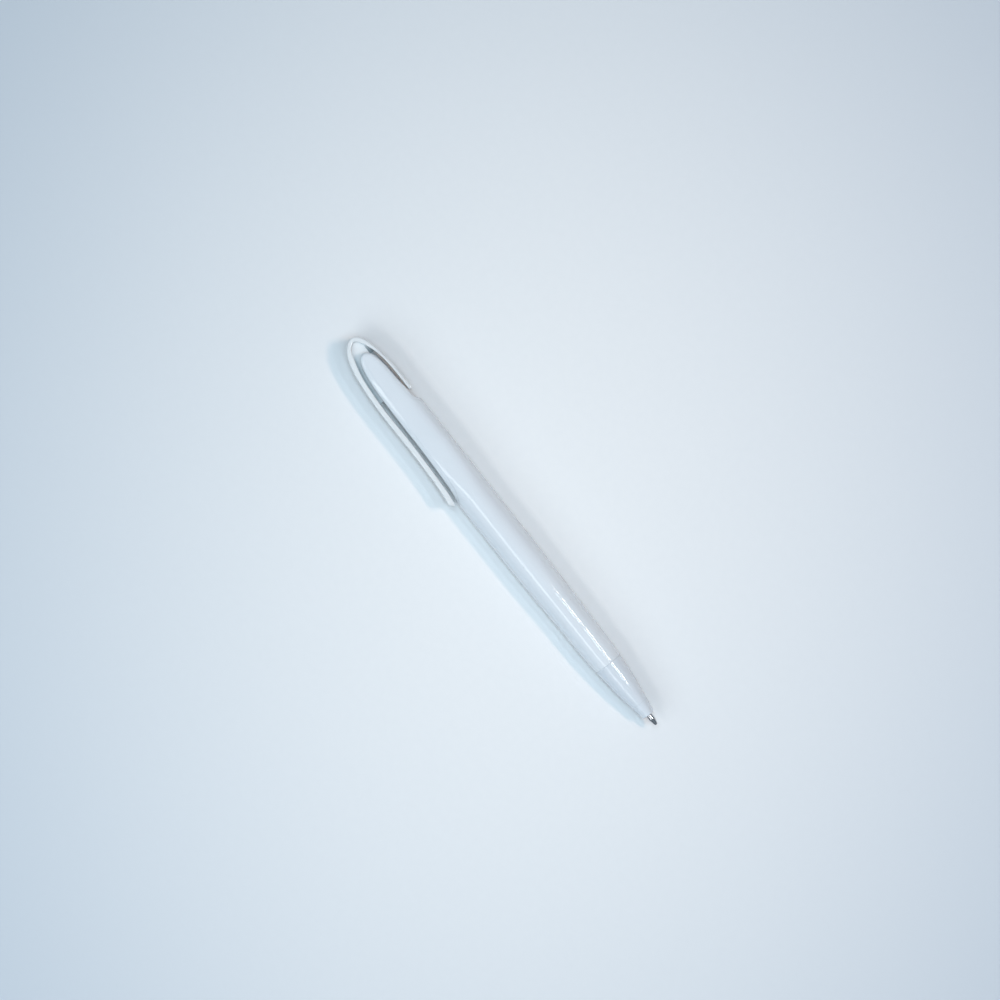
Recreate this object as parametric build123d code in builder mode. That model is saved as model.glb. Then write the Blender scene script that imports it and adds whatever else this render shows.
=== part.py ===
from build123d import *
from math import cos, pi, radians, sin, sqrt
import os

# Retractable ballpoint pen, lying on its side with the point out. Millimetres.
# +X runs along the pen to the writing ball, +Z is up, and the clip is on the -Y side.
# The origin is under the middle of the pen's box, on the surface that the pen lies on.

# --- driving dimensions -----------------------------------------------------
pen_length = 143.0
barrel_r = 5.40             # widest round stretch of the barrel
round_back_x = -12.0        # that stretch is a true cylinder from here...
round_front_x = 6.0         # ...to here
head_end_x = -65.70         # rear end of the barrel's fork
head_exponent = 2.85        # superellipse exponent of the flattened head; 2 is round
seam_x = 48.80              # barrel meets nose cone
seam_r = 4.38
nose_end_x = 67.80
nose_end_r = 1.95
clip_reach = 7.68           # outer end of the clip from the pen's axis
ball_r = 0.50

stroke = 5.30               # pusher travel from writing back to retracted
over_travel = 1.80          # extra press that trips the cam
rotor_step = 45.0           # degrees that the rotor turns in one stroke

band_half = 3.30            # half width of the clip and arch
web_half = 1.90             # half thickness of the web between the barrel's cheeks
slot_half = 2.00            # half width of the barrel's slot
sleeve_r = 3.00
sleeve_back_x, sleeve_front_x = -48.0, -32.3
track_r = 2.60              # inside of the guide sleeve
rib_r = 2.05                # inside of the sleeve's ribs
wing_r = 2.50               # outside of the rotor's wings and the driver's splines
core_r = 1.90               # rotor and driver bodies
stem_r = 1.50
refill_r = 2.95
refill_wall = 0.70
refill_back_x = -26.50
shoulder_x = 44.50          # front shoulder of the refill's wide body
neck_r = 1.50
neck_end_x = 57.00
point_r = 1.03
spigot_r = 3.60
spigot_length = 8.0
spring_chamber_r = 2.45
spring_seat_x = 60.0
wire_r = 0.20
coil_r = 2.00
coils = 10

# --- places worked out from them --------------------------------------------
tail_x, tip_x = -pen_length / 2, pen_length / 2
axis_y = (clip_reach - barrel_r) / 2
axis_z = barrel_r
ball_x = tip_x - ball_r
pen_axis = Axis((0, axis_y, axis_z), (1, 0, 0))
plan = Plane(origin=(0, axis_y, axis_z), x_dir=(1, 0, 0), z_dir=(0, 0, 1))
flank = Plane(origin=(0, axis_y, axis_z), x_dir=(1, 0, 0), z_dir=(0, -1, 0))


def across(x):
    """Plane square to the pen at x; its own x is +Y and its own y is +Z."""
    return Plane(origin=(x, axis_y, axis_z), x_dir=(0, 1, 0), z_dir=(1, 0, 0))


def outward(turn, distance):
    """Plane facing outwards at an angle about the pen's axis; its own x is the place along the pen."""
    y_part, z_part = cos(radians(turn)), sin(radians(turn))
    start = (0, axis_y + distance * y_part, axis_z + distance * z_part)
    return Plane(origin=start, x_dir=(1, 0, 0), z_dir=(0, y_part, z_part))


def superellipse(half_size, exponent, count=32):
    """Points round one closed cross-section, evenly spaced in angle."""
    points = []
    for i in range(count):
        c, s = cos(2 * pi * i / count), sin(2 * pi * i / count)
        reach = half_size / (abs(c) ** exponent + abs(s) ** exponent) ** (1 / exponent)
        points.append((reach * c, reach * s))
    return points


def write(piece, name):
    piece.part.label = name
    export_step(piece.part, f"parts/{name}.step")


os.makedirs("parts", exist_ok=True)

# --- barrel: round in front, flattened and forked at the head ----------------
flattened_by_x = -30.0
section_gap = 6.0
lip = 0.12
bore_r = 3.45
refill_bore_r = 3.15
bore_steps_x = (-10.0, -14.0)
driver_bore_r = 2.70
driver_bore_back_x = -53.5
slot_end_x = -49.3          # front end of the slot that the web slides in
slot_back_wall_y = 2.00
fork_end_x = -62.8          # behind this the slot goes right through
edge_r = 0.9
rim_groove_width = 0.14
rim_groove_depth = 0.06


def exponent_at(x):
    t = min(1, (round_back_x - x) / (round_back_x - flattened_by_x))
    return 2 + (head_exponent - 2) * t * t * (3 - 2 * t)


def flattened_head(radius):
    """Solid that turns from a circle at the barrel's round stretch to the flattened head."""
    with BuildPart() as head:
        with BuildSketch(across(round_back_x)):
            Circle(radius)
        for i in range(1, 10):
            x = round_back_x - section_gap * i
            with BuildSketch(across(x)):
                with BuildLine():
                    Spline(*superellipse(radius, exponent_at(x)), periodic=True)
                make_face()
        loft()
    return head.part


# a fine groove on both faces of the head sets off the rim along its cut edges
with BuildPart() as rim_groove:
    with BuildSketch(plan):
        with BuildLine():
            rim_line = Spline(
                (-13.35, -5.90), (-15.04, -4.62), (-17.08, -3.74), (-18.82, -3.28), (-20.86, -3.04),
                (-23.77, -2.87), (-29.58, -2.76), (-35.40, -2.65), (-44.13, -2.36), (-52.86, -1.97),
                (-58.67, -1.54), (-61.58, -1.16), (-63.50, -0.72), (-64.45, 0.05), (-64.15, 0.95),
                (-63.04, 1.56), (-61.58, 1.93), (-58.67, 2.31), (-54.30, 2.58), (-49.95, 2.83),
                (-47.77, 3.01), (-46.46, 3.30), (-45.70, 3.90), (-45.15, 4.80), (-43.90, 5.90),
            )
        trace(rim_line, rim_groove_width)
    extrude(amount=10, both=True)
    add(flattened_head(barrel_r - rim_groove_depth), mode=Mode.SUBTRACT)

with BuildPart() as barrel:
    with BuildSketch(plan):
        with BuildLine():
            Polyline((round_back_x, 0), (round_back_x, barrel_r), (round_front_x, barrel_r))
            taper = Spline(
                (round_front_x, barrel_r), (22.8, 5.15), (36.0, 4.83), (seam_x - 2 * lip, seam_r),
                tangents=((1, 0), (1, -0.115)),
            )
            Polyline(taper @ 1, (seam_x, seam_r - lip), (seam_x, 0), (round_back_x, 0))
        make_face()
    revolve(axis=pen_axis)
    add(flattened_head(barrel_r))
    # plan outline: rounded end, recess under the clip, recess and notch for the back arm
    with BuildSketch(plan):
        with BuildLine():
            head_to_clip = Bezier((head_end_x, 0), (head_end_x, -2.2), (-61.2, -3.54), (-50.0, -3.75))
            under_clip = Bezier(head_to_clip @ 1, (-40.0, -3.94), (-31.0, -3.78), (-22.0, -4.32))
            run_out = Bezier(under_clip @ 1, (-17.6, -4.58), (-15.6, -4.90), (-14.1, -6.0))
            head_to_arm = Bezier((head_end_x, 0), (head_end_x, 2.6), (-62.0, 3.20), (-55.5, 3.42))
            under_arm = Bezier(head_to_arm @ 1, (-52.6, 3.518), (-51.5, 3.90), (-49.3, 3.90))
            notch_floor = Line(under_arm @ 1, (-48.1, 3.90))
            notch_ramp = Bezier(notch_floor @ 1, (-46.2, 3.90), (-47.1, 5.10), (-43.6, 5.60))
            Polyline(notch_ramp @ 1, (-43.6, 8), (80, 8), (80, -8), (-14.1, -8), run_out @ 1)
        make_face()
    extrude(amount=10, both=True, mode=Mode.INTERSECT)
    rims = barrel.edges().filter_by(
        lambda edge: edge.center().X < round_back_x - 1 and abs(edge.center().Z - axis_z) > 1
        and edge.geom_type != GeomType.LINE
    )
    fillet(rims, edge_r)
    add(rim_groove.part, mode=Mode.SUBTRACT)
    # bore: thread seat, refill, guide sleeve, driver
    with BuildSketch(plan):
        with BuildLine():
            Polyline(
                (seam_x + 1, 0), (seam_x + 1, spigot_r + 0.05), (seam_x - spigot_length - 0.5, spigot_r + 0.05),
                (seam_x - spigot_length - 0.5, bore_r), (bore_steps_x[0], bore_r),
                (bore_steps_x[1], refill_bore_r), (sleeve_front_x, refill_bore_r), (sleeve_front_x, sleeve_r),
                (sleeve_back_x, sleeve_r), (sleeve_back_x, driver_bore_r), (driver_bore_back_x, driver_bore_r),
                (driver_bore_back_x, 0), close=True,
            )
        make_face()
    revolve(axis=pen_axis, mode=Mode.SUBTRACT)
    with BuildSketch(plan):
        with BuildLine():
            Polyline(
                (-75, -9), (slot_end_x, -9), (slot_end_x, slot_back_wall_y), (fork_end_x, slot_back_wall_y),
                (fork_end_x, 9), (-75, 9), close=True,
            )
        make_face()
    extrude(amount=slot_half, both=True, mode=Mode.SUBTRACT)
write(barrel, "barrel")

# --- push clip: clip, arch, back arm, web and stem in one moulding -----------
arm_end_x = -49.45
arm_end_r = 0.63
arm_end_y = 4.72
web_front_x = -51.4
web_back_edge_x = -64.8
web_top_y = slot_back_wall_y - 0.15
web_taper_x = -67.6         # beside the back arm the web thins out from here...
web_thin = 0.35             # ...to this half thickness
stem_front_x = -41.0
clip_tip_r = 2.4
clip_end_edge_r = 0.35
band_edge_r = 0.45

outer_apex, inner_apex = (tail_x, 0.15), (-70.22, 0.15)
clip_outer_end, clip_inner_end = (-16.10, -clip_reach - 0.024), (-14.49, -6.20)

with BuildPart() as web:
    with BuildSketch(plan):
        with BuildLine():
            web_edge = Spline(
                (web_front_x, -5.70), (-59.0, -5.20), (-64.5, -4.20), (-68.4, -2.80), (-70.86, 0.15),
                (-69.9, 1.80), (-67.45, 2.95), (web_back_edge_x, 3.75),
            )
            Polyline(web_edge @ 1, (web_back_edge_x, web_top_y), (web_front_x, web_top_y), web_edge @ 0)
        make_face()
    extrude(amount=web_half, both=True)
    with BuildSketch(flank.offset(-web_top_y)):
        with BuildLine():
            Polyline(
                (web_taper_x, web_half), (web_back_edge_x, web_thin), (web_back_edge_x + 1, web_thin),
                (web_back_edge_x + 1, web_half + 1), (web_taper_x, web_half + 1), close=True,
            )
        make_face()
        mirror(about=Plane.XZ)
    extrude(amount=-5, mode=Mode.SUBTRACT)

with BuildPart() as push_clip:
    with BuildSketch(plan) as band_outline:
        with BuildLine():
            clip_outside = Spline(
                clip_outer_end, (-21.5, -7.03), (-29.0, -6.72), (-38.0, -6.60), (-46.5, -6.68), (-53.0, -6.48),
                (-59.0, -6.02), (-64.49, -5.12), (-68.0, -3.90), (-70.45, -2.10), outer_apex,
            )
            arm_outside = Spline(
                outer_apex, (-70.25, 2.36), (-67.5, 3.62), (-64.49, 4.36), (-60.0, 4.95), (-55.0, 5.22),
                (arm_end_x - arm_end_r, arm_end_y + arm_end_r),
            )
            arm_end = CenterArc((arm_end_x - arm_end_r, arm_end_y), arm_end_r, 90, -180)
            arm_inside = Spline(
                arm_end @ 1, (-54.5, 4.20), (-58.67, 4.08), (-61.58, 3.81), (-64.49, 3.27), (-67.4, 2.27),
                (-69.4, 1.19), inner_apex,
            )
            clip_inside = Spline(
                inner_apex, (-68.86, -1.66), (-65.95, -2.85), (-61.58, -4.00), (-55.77, -4.70), (-49.0, -5.04),
                (-41.2, -4.95), (-32.5, -4.97), (-23.8, -5.27), (-18.0, -5.62), clip_inner_end,
            )
            Line(clip_inner_end, clip_outer_end)
        make_face()
        fillet(band_outline.vertices().sort_by(Axis.X)[-2:], clip_end_edge_r)
    extrude(amount=band_half, both=True)
    rims = push_clip.edges().filter_by(lambda edge: abs(abs(edge.center().Z - axis_z) - band_half) < 0.01)
    fillet(rims, band_edge_r)
    # the clip's free end is rounded as seen from its face
    with BuildSketch(flank.offset(5.2)):
        with BuildLine():
            corner = RadiusArc(
                (clip_inner_end[0] - clip_tip_r, band_half), (clip_inner_end[0], band_half - clip_tip_r), clip_tip_r
            )
            Polyline(
                corner @ 1, (clip_inner_end[0] + 1, band_half - clip_tip_r), (clip_inner_end[0] + 1, band_half + 1),
                (clip_inner_end[0] - clip_tip_r, band_half + 1), corner @ 0,
            )
        make_face()
        mirror(about=Plane.XZ)
    extrude(amount=4, mode=Mode.SUBTRACT)
    add(web.part)
    with BuildSketch(across(web_front_x - 2)):
        Circle(stem_r)
    extrude(amount=stem_front_x - web_front_x + 2)
write(push_clip, "push_clip")

# --- click mechanism ---------------------------------------------------------
# The ramps rise along the same line as the rotor's path, one step of turn in one stroke.
mean_track_r = (rib_r + wing_r) / 2
ramp_slope = stroke / (mean_track_r * radians(rotor_step))
ramp_x = -36.6              # middle of each ramp
ramp_gap = 0.40             # clearance along the pen between rotor and ribs
rib_width, wing_width = 1.5, 1.1
wing_front_x = ramp_x + 4.0
driver_back_x, driver_front_x = -46.5, -39.2
rotor_back_x = -37.2
tooth_height = 0.7
tooth_width = 0.9
teeth = 8
quarter_turns = (0, 90, 180, 270)

with BuildPart() as guide_sleeve:
    with BuildSketch(across(sleeve_back_x)):
        Circle(sleeve_r)
        Circle(track_r, mode=Mode.SUBTRACT)
    extrude(amount=sleeve_front_x - sleeve_back_x)
    for turn in quarter_turns:
        with BuildSketch(outward(turn + rotor_step, rib_r)):
            with BuildLine():
                half = rib_width / 2
                rise = ramp_slope * half
                Polyline(
                    (sleeve_back_x + 0.5, -half), (ramp_x - rise, -half), (ramp_x + rise, half),
                    (sleeve_back_x + 0.5, half), close=True,
                )
            make_face()
        extrude(amount=track_r - rib_r + 0.15)
write(guide_sleeve, "guide_sleeve")

with BuildPart() as cam_driver:
    with BuildSketch(across(driver_back_x)):
        Circle(core_r)
    extrude(amount=driver_front_x - driver_back_x)
    for turn in quarter_turns:
        with BuildSketch(outward(turn, core_r - 0.4)):
            with Locations(((driver_back_x + driver_front_x) / 2, 0)):
                Rectangle(driver_front_x - driver_back_x, wing_width)
        extrude(amount=wing_r - core_r + 0.4 - 0.03)
    for i in range(teeth):
        with BuildSketch(outward(i * 360 / teeth, 1.0)):
            with BuildLine():
                Polyline(
                    (driver_front_x - 0.1, -tooth_width / 2), (driver_front_x + tooth_height, -tooth_width / 2),
                    (driver_front_x - 0.1, tooth_width / 2), close=True,
                )
            make_face()
        extrude(amount=core_r - 1.0 - 0.08)
    with BuildSketch(across(driver_back_x)):
        Circle(stem_r)
    extrude(amount=stem_front_x - driver_back_x, mode=Mode.SUBTRACT)
write(cam_driver, "cam_driver")

with BuildPart() as rotor_cam:
    with BuildSketch(across(rotor_back_x)):
        Circle(core_r)
    extrude(amount=refill_back_x - 0.02 - rotor_back_x)
    for turn in quarter_turns:
        with BuildSketch(outward(turn + rotor_step, core_r - 0.2)):
            with BuildLine():
                half = wing_width / 2
                rise = ramp_slope * half
                Polyline(
                    (ramp_x + ramp_gap - rise, -half), (ramp_x + ramp_gap + rise, half), (wing_front_x, half),
                    (wing_front_x, -half), close=True,
                )
            make_face()
        extrude(amount=wing_r - core_r + 0.2 - 0.03)
    for i in range(teeth):
        with BuildSketch(outward((i + 0.5) * 360 / teeth, 1.0)):
            with BuildLine():
                Polyline(
                    (rotor_back_x + 0.1, -tooth_width / 2), (rotor_back_x - tooth_height, tooth_width / 2),
                    (rotor_back_x + 0.1, tooth_width / 2), close=True,
                )
            make_face()
        extrude(amount=core_r - 1.0 - 0.08)
    with BuildSketch(across(refill_back_x - 0.02)):
        Circle(1.0)
    extrude(amount=-7, mode=Mode.SUBTRACT)
write(rotor_cam, "rotor_cam")

# --- refill ------------------------------------------------------------------
plug_collar = 2.5
plug_spigot = 2.5
tube_back_x = refill_back_x + plug_collar
tube_bore_r = refill_r - refill_wall
shoulder_wall = 1.0
neck_tail_r = 1.10
neck_bore_r = 0.80
neck_socket = 3.0
tip_tail_r = 0.95
channel_r = 0.35
cone_x = 69.30
lip_x = 71.20
lip_r = 0.54
ball_gap = 0.012
ink_back_x = 0.0
follower_length = 4.0
plug_slots = 6


def turned(outline):
    """Closed profile of (place along the pen, radius) pairs, ready to revolve."""
    with BuildSketch(plan, mode=Mode.PRIVATE) as profile:
        with BuildLine():
            Polyline(*outline, close=True)
        make_face()
    return profile.sketch


with BuildPart() as refill_plug:
    with BuildSketch(across(refill_back_x)):
        Circle(refill_r)
    extrude(amount=plug_collar)
    with BuildSketch(across(tube_back_x)):
        Circle(tube_bore_r)
    extrude(amount=plug_spigot)
    with BuildSketch(across(refill_back_x)):
        with PolarLocations(refill_r, plug_slots):
            Rectangle(1.4, 0.8)
    extrude(amount=plug_collar - 0.6, mode=Mode.SUBTRACT)
write(refill_plug, "refill_plug")

with BuildPart() as refill_tube:
    revolve(
        turned([
            (tube_back_x, tube_bore_r), (tube_back_x, refill_r), (shoulder_x - 0.4, refill_r),
            (shoulder_x, refill_r - 0.4), (shoulder_x, neck_tail_r), (shoulder_x - shoulder_wall, neck_tail_r),
            (shoulder_x - shoulder_wall, tube_bore_r),
        ]),
        axis=pen_axis,
    )
write(refill_tube, "refill_tube")

with BuildPart() as tip_holder:
    revolve(
        turned([
            (shoulder_x - shoulder_wall, neck_bore_r), (shoulder_x - shoulder_wall, neck_tail_r),
            (shoulder_x, neck_tail_r), (shoulder_x, neck_r), (neck_end_x - 0.5, neck_r),
            (neck_end_x, neck_r - 0.3), (neck_end_x, tip_tail_r), (neck_end_x - neck_socket, tip_tail_r),
            (neck_end_x - neck_socket, neck_bore_r),
        ]),
        axis=pen_axis,
    )
write(tip_holder, "tip_holder")

socket_r = ball_r + ball_gap
socket_mouth = (lip_x, sqrt(socket_r**2 - (lip_x - ball_x) ** 2))
socket_floor = (ball_x - sqrt(socket_r**2 - channel_r**2), channel_r)
with BuildPart() as writing_tip:
    with BuildSketch(plan):
        with BuildLine():
            Polyline(
                socket_floor, (neck_end_x - neck_socket, channel_r), (neck_end_x - neck_socket, tip_tail_r),
                (neck_end_x, tip_tail_r), (neck_end_x, point_r), (cone_x, point_r), (lip_x, lip_r), socket_mouth,
            )
            ThreePointArc(socket_mouth, (ball_x, socket_r), socket_floor)
        make_face()
    revolve(axis=pen_axis)
write(writing_tip, "writing_tip")

with BuildPart() as ball:
    with Locations((ball_x, axis_y, axis_z)):
        Sphere(ball_r, rotation=(90, 0, 0))
write(ball, "ball")

with BuildPart() as ink:
    revolve(
        turned([
            (ink_back_x, 0), (ink_back_x, tube_bore_r), (shoulder_x - shoulder_wall, tube_bore_r),
            (shoulder_x - shoulder_wall, neck_bore_r), (neck_end_x - neck_socket, neck_bore_r),
            (neck_end_x - neck_socket, channel_r), (ball_x - ball_r - 0.1, channel_r),
            (ball_x - ball_r - 0.1, 0),
        ]),
        axis=pen_axis,
    )
write(ink, "ink")

with BuildPart() as ink_follower:
    with BuildSketch(across(ink_back_x)):
        Circle(tube_bore_r)
    extrude(amount=-follower_length)
write(ink_follower, "ink_follower")

# --- return spring -----------------------------------------------------------
spring_length = spring_seat_x - shoulder_x - 2 * wire_r
with BuildPart() as return_spring:
    with BuildLine():
        coil = Helix(
            pitch=spring_length / coils, height=spring_length, radius=coil_r,
            center=(shoulder_x + wire_r, axis_y, axis_z), direction=(1, 0, 0),
        )
    with BuildSketch(Plane(origin=coil @ 0, z_dir=coil % 0)):
        Circle(wire_r)
    sweep(path=coil, is_frenet=True)
write(return_spring, "return_spring")

# --- nose cone ---------------------------------------------------------------
hole_r = point_r + 0.10
nose_start_r = 4.36
nose_refill_r = 3.10
ring_x = 63.45              # fine mould line round the nose
ring_depth, ring_half_width = 0.04, 0.06

with BuildPart() as nose_cone:
    with BuildSketch(plan):
        with BuildLine():
            ogive = Spline(
                (seam_x, nose_start_r), (53.3, 4.02), (57.7, 3.54), (60.6, 3.10),
                tangents=((1, -0.045), (1, -0.166)),
            )
            Polyline(
                ogive @ 1, (nose_end_x - 0.15, nose_end_r), (nose_end_x, nose_end_r - 0.2), (nose_end_x, hole_r),
                (spring_seat_x + 0.8, hole_r), (spring_seat_x, neck_r + 0.2), (spring_seat_x, spring_chamber_r),
                (shoulder_x + over_travel + 1.9, spring_chamber_r), (shoulder_x + over_travel + 0.9, nose_refill_r),
                (seam_x - spigot_length, nose_refill_r), (seam_x - spigot_length, spigot_r - 0.3),
                (seam_x - spigot_length + 0.3, spigot_r), (seam_x, spigot_r), ogive @ 0,
            )
        make_face()
    revolve(axis=pen_axis)
    ring_r = nose_end_r + (nose_end_x - 0.15 - ring_x) * 1.15 / 7.05
    with BuildSketch(plan):
        with BuildLine():
            Polyline(
                (ring_x, ring_r - ring_depth), (ring_x - ring_half_width, ring_r + ring_half_width),
                (ring_x + ring_half_width, ring_r + ring_half_width), close=True,
            )
        make_face()
    revolve(axis=pen_axis, mode=Mode.SUBTRACT)
write(nose_cone, "nose_cone")
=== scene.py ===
# %% [markdown]
# # A click ballpoint pen
# The pen comes packed from CAD as fourteen named nodes that already fit and move together. This lesson
# gives them their finishes, winds a smoother return spring, and sets up the table, the lights and the camera.

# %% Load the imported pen
import math

import bmesh
import bpy
from mathutils import Matrix, Vector


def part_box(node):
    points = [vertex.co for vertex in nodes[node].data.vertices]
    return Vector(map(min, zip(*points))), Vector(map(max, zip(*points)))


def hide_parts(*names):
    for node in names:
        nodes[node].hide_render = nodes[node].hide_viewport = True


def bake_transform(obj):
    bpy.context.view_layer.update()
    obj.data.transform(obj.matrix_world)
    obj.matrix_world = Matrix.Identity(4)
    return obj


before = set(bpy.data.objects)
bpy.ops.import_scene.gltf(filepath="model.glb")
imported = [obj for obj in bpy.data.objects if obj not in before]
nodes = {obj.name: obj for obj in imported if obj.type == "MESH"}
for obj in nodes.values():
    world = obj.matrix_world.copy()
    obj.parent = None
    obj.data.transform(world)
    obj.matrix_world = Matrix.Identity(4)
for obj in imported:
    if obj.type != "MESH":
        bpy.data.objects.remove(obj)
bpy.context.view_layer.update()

print("nodes:", ", ".join(sorted(nodes)))

# %% [markdown]
# The pen lies along X. Its axis is the middle of the refill tube, so every place below is measured from that
# node's box and not typed in.

# %% Measure the pen's axis
tube_low, tube_high = (Vector(corner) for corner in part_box("refill_tube"))
axis_y = (tube_low.y + tube_high.y) / 2
axis_z = (tube_low.z + tube_high.z) / 2
print(f"axis at y {axis_y * 1000:.2f} mm, z {axis_z * 1000:.2f} mm")


# %% [markdown]
# Every finish below is a small tree of shader nodes. These helpers add a node, set its values by socket name
# and join it to others, so that a finish reads from top to bottom like a recipe.

# %% Node helpers
def add_node(tree, kind, **values):
    """Adds a shader node; a value that is a socket gets a link, and anything else becomes the default."""
    node = tree.nodes.new("ShaderNode" + kind)
    for name, value in values.items():
        if hasattr(node, name) and name not in node.inputs:
            setattr(node, name, value)
        else:
            fill(tree, node.inputs[name.replace("_", " ")], value)
    return node


def fill(tree, socket, value):
    if isinstance(value, bpy.types.NodeSocket):
        tree.links.new(value, socket)
    elif isinstance(value, tuple) and len(value) == 3 and socket.type == "RGBA":
        socket.default_value = (*value, 1)
    else:
        socket.default_value = value


def math_node(tree, operation, a, b=0.5, clamp=False):
    node = add_node(tree, "Math", operation=operation, use_clamp=clamp)
    fill(tree, node.inputs[0], a)
    fill(tree, node.inputs[1], b)
    return node.outputs[0]


def remap(tree, value, low, high, to_low=0.0, to_high=1.0):
    node = add_node(tree, "MapRange", interpolation_type="SMOOTHSTEP")
    for socket, number in zip(node.inputs[:5], (value, low, high, to_low, to_high)):
        fill(tree, socket, number)
    return node.outputs[0]


def mix_colour(tree, factor, a, b):
    node = add_node(tree, "Mix", data_type="RGBA")
    fill(tree, node.inputs[0], factor)
    fill(tree, node.inputs[6], a)
    fill(tree, node.inputs[7], b)
    return node.outputs[2]


def stretched(tree, scale):
    """Object coordinates with each axis scaled, for a pattern that runs along or round the pen."""
    place = add_node(tree, "TexCoord").outputs["Object"]
    return add_node(tree, "Mapping", Vector=place, Scale=scale).outputs[0]


# %% [markdown]
# Gloss mouldings are never one flat colour. The melt cools in soft clouds, the skin carries a faint orange
# peel, and use leaves hairlines that only show in the gloss. One group holds all three, and each plastic
# passes its own tones and strengths.

# %% Group: moulded plastic
def new_group(name, inputs, outputs):
    group = bpy.data.node_groups.new(name, "ShaderNodeTree")
    for label, kind, value in inputs:
        socket = group.interface.new_socket(label, in_out="INPUT", socket_type="NodeSocket" + kind)
        socket.default_value = (*value, 1) if kind == "Color" else value
    for label, kind in outputs:
        group.interface.new_socket(label, in_out="OUTPUT", socket_type="NodeSocket" + kind)
    return group, group.nodes.new("NodeGroupInput").outputs, group.nodes.new("NodeGroupOutput").inputs


moulded, given, result = new_group(
    "moulded plastic",
    [("Light", "Color", (0.8, 0.8, 0.8)), ("Deep", "Color", (0.7, 0.7, 0.7)), ("Cloud Scale", "Float", 70.0),
     ("Peel Scale", "Float", 900.0), ("Gloss", "Float", 0.15), ("Hairlines", "Float", 0.5)],
    [("Color", "Color"), ("Roughness", "Float"), ("Height", "Float")],
)
place = add_node(moulded, "TexCoord").outputs["Object"]
cloud = add_node(moulded, "TexNoise", Vector=place, Scale=given["Cloud Scale"], Detail=3.0)
flow = add_node(moulded, "TexNoise", Vector=stretched(moulded, (35, 260, 260)), Scale=1.0, Detail=2.0)
tone = math_node(moulded, "ADD", cloud.outputs[0], math_node(moulded, "MULTIPLY", flow.outputs[0], 0.5))
moulded.links.new(
    mix_colour(moulded, remap(moulded, tone, 0.55, 0.95), given["Light"], given["Deep"]), result["Color"]
)
hair = add_node(moulded, "TexNoise", Vector=stretched(moulded, (90, 5200, 5200)), Scale=1.0, Detail=1.0)
hairline = math_node(moulded, "MULTIPLY", remap(moulded, hair.outputs[0], 0.66, 0.74), given["Hairlines"])
haze = add_node(moulded, "TexNoise", Vector=place, Scale=240.0, Detail=4.0)
haze_part = remap(moulded, haze.outputs[0], 0.35, 0.75, -0.01, 0.02)
gloss = math_node(moulded, "ADD", math_node(moulded, "ADD", given["Gloss"], haze_part),
                  math_node(moulded, "MULTIPLY", hairline, 0.10), clamp=True)
moulded.links.new(gloss, result["Roughness"])
peel = add_node(moulded, "TexNoise", Vector=place, Scale=given["Peel Scale"], Detail=2.0)
moulded.links.new(math_node(moulded, "SUBTRACT", peel.outputs[0], math_node(moulded, "MULTIPLY", hairline, 0.4)),
                  result["Height"])
print("group", moulded.name, "outputs", [s.name for s in result if s.name])

# %% [markdown]
# Turned metal shows rings left by the lathe tool, round the axis that it spun about. The pen's metal parts
# spin about X, so noise squeezed hard along X and stretched across it gives those rings. A second, coarser
# noise tarnishes the metal in patches.

# %% Group: turned metal
turned, given, result = new_group(
    "turned metal",
    [("Bright", "Color", (0.8, 0.8, 0.8)), ("Dull", "Color", (0.5, 0.5, 0.5)), ("Ring Scale", "Float", 9000.0),
     ("Polish", "Float", 0.2)],
    [("Color", "Color"), ("Roughness", "Float"), ("Height", "Float")],
)
place = add_node(turned, "TexCoord").outputs["Object"]
along = add_node(turned, "VectorMath", operation="MULTIPLY")
fill(turned, along.inputs[0], place)
squeeze = add_node(turned, "CombineXYZ", X=given["Ring Scale"], Y=120.0, Z=120.0)
fill(turned, along.inputs[1], squeeze.outputs[0])
rings = add_node(turned, "TexNoise", Vector=along.outputs[0], Scale=1.0, Detail=2.0)
patch = add_node(turned, "TexNoise", Vector=place, Scale=650.0, Detail=4.0)
tarnish = remap(turned, patch.outputs[0], 0.45, 0.75)
turned.links.new(mix_colour(turned, tarnish, given["Bright"], given["Dull"]), result["Color"])
rough = math_node(turned, "ADD", given["Polish"], math_node(turned, "MULTIPLY", tarnish, 0.12))
rough = math_node(turned, "ADD", rough, remap(turned, rings.outputs[0], 0.4, 0.7, 0.0, 0.10), clamp=True)
turned.links.new(rough, result["Roughness"])
turned.links.new(rings.outputs[0], result["Height"])
print("group", turned.name)

# %% [markdown]
# A long lamp draws a straight streak down a round barrel only if the normals turn evenly about the axis, and
# the averaged normals of a meshed taper wander a little. This group keeps each normal's lean along the axis
# but points the rest of it straight out from the axis, from a given place forward.

# %% Group: round normals
lathe_normal, given, result = new_group("round normal", [("Round From", "Float", 0.0)], [("Normal", "Vector")])
coordinates = add_node(lathe_normal, "TexCoord").outputs
place = add_node(lathe_normal, "SeparateXYZ", Vector=coordinates["Object"]).outputs
meshed = add_node(lathe_normal, "SeparateXYZ", Vector=coordinates["Normal"]).outputs
outward = add_node(lathe_normal, "CombineXYZ", Y=math_node(lathe_normal, "SUBTRACT", place["Y"], axis_y),
                   Z=math_node(lathe_normal, "SUBTRACT", place["Z"], axis_z))
outward = add_node(lathe_normal, "VectorMath", operation="NORMALIZE", Vector=outward.outputs[0])
lean = math_node(lathe_normal, "MULTIPLY", meshed["X"], meshed["X"])
reach_out = math_node(lathe_normal, "SQRT", math_node(lathe_normal, "SUBTRACT", 1.0, lean, clamp=True))
scaled = add_node(lathe_normal, "VectorMath", operation="SCALE", Vector=outward.outputs[0], Scale=reach_out)
joined = add_node(lathe_normal, "VectorMath", operation="ADD")
fill(lathe_normal, joined.inputs[0], scaled.outputs[0])
fill(lathe_normal, joined.inputs[1], add_node(lathe_normal, "CombineXYZ", X=meshed["X"]).outputs[0])
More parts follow.
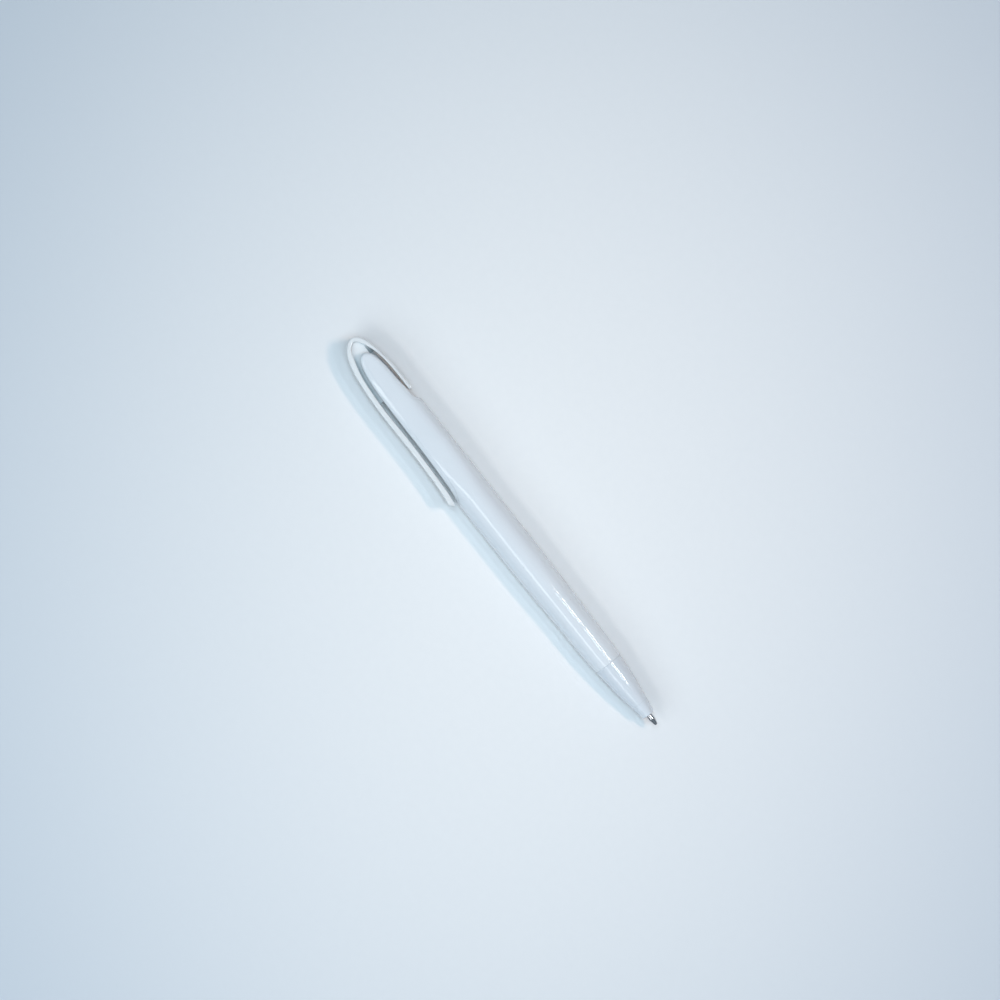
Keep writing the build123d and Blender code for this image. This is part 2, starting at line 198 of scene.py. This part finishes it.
ahead = math_node(lathe_normal, "SUBTRACT", place["X"], given["Round From"])
choice = add_node(lathe_normal, "Mix", data_type="VECTOR")
fill(lathe_normal, choice.inputs[0], remap(lathe_normal, ahead, -0.002, 0.003))
fill(lathe_normal, choice.inputs[4], coordinates["Normal"])
fill(lathe_normal, choice.inputs[5], joined.outputs[0])
in_world = add_node(lathe_normal, "VectorTransform", vector_type="NORMAL", convert_from="OBJECT",
                    convert_to="WORLD", Vector=choice.outputs[1])
lathe_normal.links.new(in_world.outputs[0], result["Normal"])
print("group", lathe_normal.name)

# %% [markdown]
# Dust and grime settle where a finger can't wipe. This group thins out with a mask of its own: sparse round
# specks from a cell pattern, each one kept or dropped by its cell's random colour.

# %% Group: dust specks
dust, given, result = new_group(
    "dust specks",
    [("Speck Scale", "Float", 700.0), ("Share", "Float", 0.03)],
    [("Mask", "Float")],
)
place = add_node(dust, "TexCoord").outputs["Object"]
cells = add_node(dust, "TexVoronoi", Vector=place, Scale=given["Speck Scale"])
drawn = add_node(dust, "SeparateColor", Color=cells.outputs["Color"])
kept = math_node(dust, "LESS_THAN", drawn.outputs[0], given["Share"])
dot = remap(dust, cells.outputs["Distance"], 0.10, 0.22, 1.0, 0.0)
dust.links.new(math_node(dust, "MULTIPLY", kept, dot), result["Mask"])
print("group", dust.name)


# %% [markdown]
# A finish is a material whose Principled shader is fed by one of these groups. Whatever is the same all over, such
# as how far light scatters under the skin, is set on the shader itself. Gaps and the slit under the clip are
# painted darker than the lamps alone make them: an ambient-occlusion mask mixes a painted shade colour into the
# base colour there.

# %% Materials from the groups
def use_group(tree, group, **values):
    node = tree.nodes.new("ShaderNodeGroup")
    node.node_tree = group
    for name, value in values.items():
        fill(tree, node.inputs[name.replace("_", " ")], value)
    return node.outputs


def new_material(name, **shader):
    material = bpy.data.materials.new(name)
    material.use_nodes = True
    tree = material.node_tree
    principled = tree.nodes["Principled BSDF"]
    for label, value in shader.items():
        fill(tree, principled.inputs[label.replace("_", " ")], value)
    return material, tree, principled


def bump(tree, principled, height, depth, strength=1.0):
    """Feeds a height that runs from 0 to 1 to the shader's normal; depth is that run in metres."""
    node = add_node(tree, "Bump", Height=height, Distance=depth, Strength=strength)
    tree.links.new(node.outputs[0], principled.inputs["Normal"])


def painted_shade_mask(tree, reach):
    """Mask for painted shade: 1 deep in a gap narrower than reach, 0 in the open."""
    shade = add_node(tree, "AmbientOcclusion", samples=8, Distance=reach)
    return remap(tree, shade.outputs["AO"], 0.0, 0.55, 1.0, 0.0)


def plastic(name, light, deep, painted_shade, gloss, hairlines=0.2, peel=3e-8, reach=0.003, cloud=70.0, round_from=None,
            **shader):
    material, tree, principled = new_material(name, **shader)
    skin = use_group(tree, moulded, Light=light, Deep=deep, Cloud_Scale=cloud, Gloss=gloss, Hairlines=hairlines)
    specks = use_group(tree, dust)["Mask"]
    # Painted shade: the shade colour is mixed into the base colour where the occlusion mask finds a gap.
    colour = mix_colour(tree, painted_shade_mask(tree, reach), skin["Color"], painted_shade)
    colour = mix_colour(tree, math_node(tree, "MULTIPLY", specks, 0.25), colour, (0.45, 0.47, 0.48))
    tree.links.new(colour, principled.inputs["Base Color"])
    tree.links.new(skin["Roughness"], principled.inputs["Roughness"])
    bump(tree, principled, skin["Height"], peel)
    if round_from is not None:
        facing = use_group(tree, lathe_normal, Round_From=round_from)["Normal"]
        tree.links.new(facing, principled.inputs["Normal"].links[0].from_node.inputs["Normal"])
    return material


# %% [markdown]
# Barrel, push clip and nose are the same pale blue gloss plastic from three moulds, so their tones differ only
# a little: the clip is a touch whiter and the nose a touch deeper.

# %% Body plastics
# Colour of the painted shade that darkens gaps and the slit under the clip.
painted_shade = (0.16, 0.20, 0.21)
finish = {
    "barrel": plastic("barrel plastic", (0.735, 0.78, 0.82), (0.72, 0.765, 0.805), painted_shade, 0.05, reach=0.0016,
                      round_from=-0.013, Specular_IOR_Level=0.6),
    "push_clip": plastic("clip plastic", (0.76, 0.79, 0.805), (0.745, 0.775, 0.79), painted_shade, 0.12,
                         Coat_Weight=0.3, Coat_Roughness=0.05),
    "nose_cone": plastic("nose plastic", (0.675, 0.725, 0.775), (0.66, 0.71, 0.76), painted_shade, 0.05,
                         round_from=0.0, Specular_IOR_Level=0.6),
}
print("finishes:", list(finish))

# %% [markdown]
# Inside, the click parts are plain slippery plastics that nobody polishes, the refill is a milky tube with a
# blue plug, and ink and the grease that follows it fill the tube.

# %% Inner plastics, ink and grease
finish["guide_sleeve"] = plastic("sleeve plastic", (0.78, 0.80, 0.80), (0.70, 0.73, 0.74), painted_shade, 0.34, 0.2, 1.2e-6)
finish["cam_driver"] = plastic("driver plastic", (0.28, 0.44, 0.62), (0.22, 0.37, 0.55), painted_shade, 0.36, 0.2, 1.2e-6)
finish["rotor_cam"] = plastic("rotor plastic", (0.66, 0.68, 0.69), (0.58, 0.60, 0.62), painted_shade, 0.38, 0.2, 1.5e-6)
finish["refill_plug"] = plastic("plug plastic", (0.03, 0.11, 0.38), (0.02, 0.08, 0.30), (0.01, 0.02, 0.05), 0.30, 0.3, 1e-6)
finish["refill_tube"] = plastic("tube plastic", (0.62, 0.70, 0.78), (0.55, 0.64, 0.73), painted_shade, 0.26, 0.6, 6e-7,
                                Subsurface_Weight=0.2, Subsurface_Scale=0.001)
finish["ink"] = plastic("ink", (0.010, 0.022, 0.13), (0.006, 0.012, 0.09), (0.004, 0.006, 0.03), 0.05, 0.0, 2e-7)
finish["ink_follower"] = plastic("follower grease", (0.72, 0.66, 0.44), (0.64, 0.57, 0.36), (0.3, 0.25, 0.12), 0.10,
                                 0.0, 4e-6, cloud=400.0)
print("finishes:", len(finish))


# %% [markdown]
# The tip is nickel silver in a brass holder, the ball is hard carbide and the spring is drawn steel wire.
# Metals get their look from what they mirror, so their colour hardly changes and their roughness does.

# %% Metals
def metal(name, bright, dull, polish, rings=9000.0, depth=6e-7):
    material, tree, principled = new_material(name, Metallic=1.0)
    skin = use_group(tree, turned, Bright=bright, Dull=dull, Polish=polish, Ring_Scale=rings)
    tree.links.new(skin["Color"], principled.inputs["Base Color"])
    tree.links.new(skin["Roughness"], principled.inputs["Roughness"])
    bump(tree, principled, skin["Height"], depth)
    return material


finish["writing_tip"] = metal("nickel silver", (0.70, 0.70, 0.72), (0.54, 0.54, 0.55), 0.14)
finish["tip_holder"] = metal("holder brass", (0.80, 0.62, 0.32), (0.62, 0.44, 0.20), 0.22)
finish["ball"] = metal("ball carbide", (0.42, 0.42, 0.43), (0.34, 0.34, 0.35), 0.08, 3000.0, 1e-7)
finish["return_spring"] = metal("spring steel", (0.58, 0.58, 0.60), (0.44, 0.43, 0.42), 0.20, 2500.0, 4e-7)
for name, node in nodes.items():
    node.data.materials.clear()
    node.data.materials.append(finish[name])
print("finished nodes:", len(nodes))

# %% [markdown]
# The return spring is squeezed when the button is pressed, and a stiff CAD coil can't show that. A new coil is
# swept here by spinning a wire's round section about the axis while it steps forward.

# %% Return spring
spring_low, spring_high = (Vector(corner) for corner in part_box("return_spring"))
wire_r, turns, steps_per_turn = 0.00019, 10, 28
coil_r = (spring_high.z - spring_low.z) / 2 - wire_r - 1e-5
front_x, rear_x = spring_low.x + wire_r + 1e-5, spring_high.x - wire_r - 1e-5
coil = bmesh.new()
bmesh.ops.create_circle(coil, cap_ends=True, segments=12, radius=wire_r,
                        matrix=Matrix.Translation((front_x, axis_y, axis_z + coil_r)))
bmesh.ops.rotate(coil, verts=coil.verts, cent=(front_x, axis_y, axis_z + coil_r),
                 matrix=Matrix.Rotation(math.radians(90), 3, "X"))
total_steps = turns * steps_per_turn
bmesh.ops.spin(coil, geom=coil.faces[:] + coil.edges[:] + coil.verts[:], cent=(front_x, axis_y, axis_z),
               axis=(1, 0, 0), dvec=((rear_x - front_x) / total_steps, 0, 0), angle=math.tau * turns,
               steps=total_steps)
bmesh.ops.recalc_face_normals(coil, faces=coil.faces)
open_edges = sum(not edge.is_manifold for edge in coil.edges)
for face in coil.faces:
    face.smooth = len(face.verts) == 4
spring_mesh = bpy.data.meshes.new("coiled_spring")
coil.to_mesh(spring_mesh)
coil.free()
spring = bpy.data.objects.new("coiled_spring", spring_mesh)
bpy.context.scene.collection.objects.link(spring)
spring.data.materials.append(finish["return_spring"])
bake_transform(spring)
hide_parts("return_spring")
print("coil faces:", len(spring_mesh.polygons), "open edges:", open_edges, "radius mm:", round(coil_r * 1000, 3))

# %% [markdown]
# The table is one large plain sheet. Its colour is painted darker and bluer towards the edges of the view, a
# painted light falloff like that of a lit sweep of paper, and a very fine tooth keeps it from looking like plastic.

# %% Camera place and table
view_middle = Vector((-0.00801, 0.00609, axis_z))
view_width = 0.2909
floor_mesh = bpy.data.meshes.new("table")
sheet = bmesh.new()
bmesh.ops.create_grid(sheet, x_segments=2, y_segments=2, size=4.0)
sheet.to_mesh(floor_mesh)
sheet.free()
table = bpy.data.objects.new("table", floor_mesh)
bpy.context.scene.collection.objects.link(table)

paper, tree, principled = new_material("table paper", Roughness=0.75)
place = add_node(tree, "TexCoord").outputs["Object"]
# Painted shade: an oval about the view's middle darkens and blues the paper's colour towards the edges.
oval = add_node(tree, "Mapping", vector_type="TEXTURE", Vector=place, Location=(view_middle.x, view_middle.y, 0),
                Rotation=(0, 0, math.radians(51.58)), Scale=(0.9, 1.35, 1))
from_middle = add_node(tree, "VectorMath", operation="LENGTH", Vector=oval.outputs[0])
painted_falloff = remap(tree, from_middle.outputs["Value"], 0.0, 0.30)
tone = mix_colour(tree, painted_falloff, (0.83, 0.84, 0.845), (0.47, 0.545, 0.625))
mottle = add_node(tree, "TexNoise", Vector=place, Scale=420.0, Detail=5.0)
tone = mix_colour(tree, remap(tree, mottle.outputs[0], 0.3, 0.7, 0.0, 0.03), tone, (0.55, 0.58, 0.62))
tree.links.new(tone, principled.inputs["Base Color"])
bump(tree, principled, mottle.outputs[0], 2e-5, 0.4)
table.data.materials.append(paper)
print("table", table.name)

# %% [markdown]
# The room is a pale blue dome that darkens towards the horizon. Three lamps do the drawing: two small ones behind
# the pen, whose shadows overlap under the clip, and one long soft box in front.

# %% Room light
world = bpy.data.worlds.new("room")
bpy.context.scene.world = world
world.use_nodes = True
tree = world.node_tree
direction = add_node(tree, "SeparateXYZ", Vector=add_node(tree, "TexCoord").outputs["Generated"])
dome = remap(tree, direction.outputs["Z"], 0.10, 0.75)
tree.links.new(mix_colour(tree, dome, (0.05, 0.06, 0.07), (0.64, 0.80, 0.93)),
               tree.nodes["Background"].inputs["Color"])
tree.nodes["Background"].inputs["Strength"].default_value = 0.28


def lamp(name, along, tilt, distance, length, width, power, colour):
    """Rectangular lamp, tilt degrees from straight up; positive tilts lean to the clip's side."""
    light = bpy.data.lights.new(name, "AREA")
    light.shape = "RECTANGLE"
    light.size, light.size_y = length, width
    light.energy = power
    light.color = colour
    lamp_object = bpy.data.objects.new(name, light)
    bpy.context.scene.collection.objects.link(lamp_object)
    back = Vector((0, -math.sin(math.radians(tilt)), math.cos(math.radians(tilt))))
    ahead = Vector((1, 0, 0))
    side = back.cross(ahead)
    turn = Matrix((ahead, side, back)).transposed().to_4x4()
    spot = Vector((along, axis_y, axis_z)) + back * distance
    lamp_object.matrix_world = Matrix.Translation(spot) @ turn
    return lamp_object


near_lamp = lamp("near lamp", 0.20, -20, 0.70, 0.20, 0.03, 0.60, (0.70, 0.88, 1.0))
far_lamp = lamp("far lamp", 0.20, -32, 0.75, 0.20, 0.05, 1.6, (1.0, 0.66, 0.48))
streak_lamps = [lamp("near streak", 0.19, -20, 0.66, 0.20, 0.035, 0.36, (0.80, 0.94, 1.0)),
                lamp("far streak", 0.19, -32, 0.70, 0.20, 0.045, 0.66, (1.0, 0.90, 0.86))]
for streak_lamp in streak_lamps:
    streak_lamp.visible_diffuse = False
soft_box = lamp("soft box", 0.05, 31, 0.80, 0.75, 0.18, 1.25, (0.98, 0.99, 1.0))
fill_lamps = [lamp("back fill", 0.0, -5, 0.80, 0.60, 0.08, 2.2, (0.64, 0.85, 1.0)),
              lamp("front fill", 0.0, 5, 0.80, 0.60, 0.08, 0.7, (0.76, 0.90, 1.0)),
              lamp("side wash", 0.0, 52, 0.80, 0.80, 0.30, 1.5, (0.84, 0.92, 0.97))]
for dull_lamp in [near_lamp, far_lamp, *fill_lamps]:
    dull_lamp.visible_glossy = False
print("lamps:", near_lamp.name, far_lamp.name, soft_box.name, *(item.name for item in streak_lamps + fill_lamps))

# %% [markdown]
# The camera looks straight down with a portrait lens, turned so that the pen runs from upper left to lower
# right with its clip on the left.

# %% Camera
right, up = Vector((0.6214, 0.7834, 0)), Vector((-0.7834, 0.6214, 0))
camera_data = bpy.data.cameras.new("camera")
camera_data.lens, camera_data.sensor_width = 85, 36
height = view_width * camera_data.lens / camera_data.sensor_width
camera = bpy.data.objects.new("camera", camera_data)
bpy.context.scene.collection.objects.link(camera)
turn = Matrix((right, up, Vector((0, 0, 1)))).transposed().to_4x4()
camera.matrix_world = Matrix.Translation(view_middle + Vector((0, 0, height))) @ turn
bpy.context.scene.camera = camera
bpy.context.scene.view_settings.view_transform = "Standard"
print(f"camera {height:.3f} m above the pen")
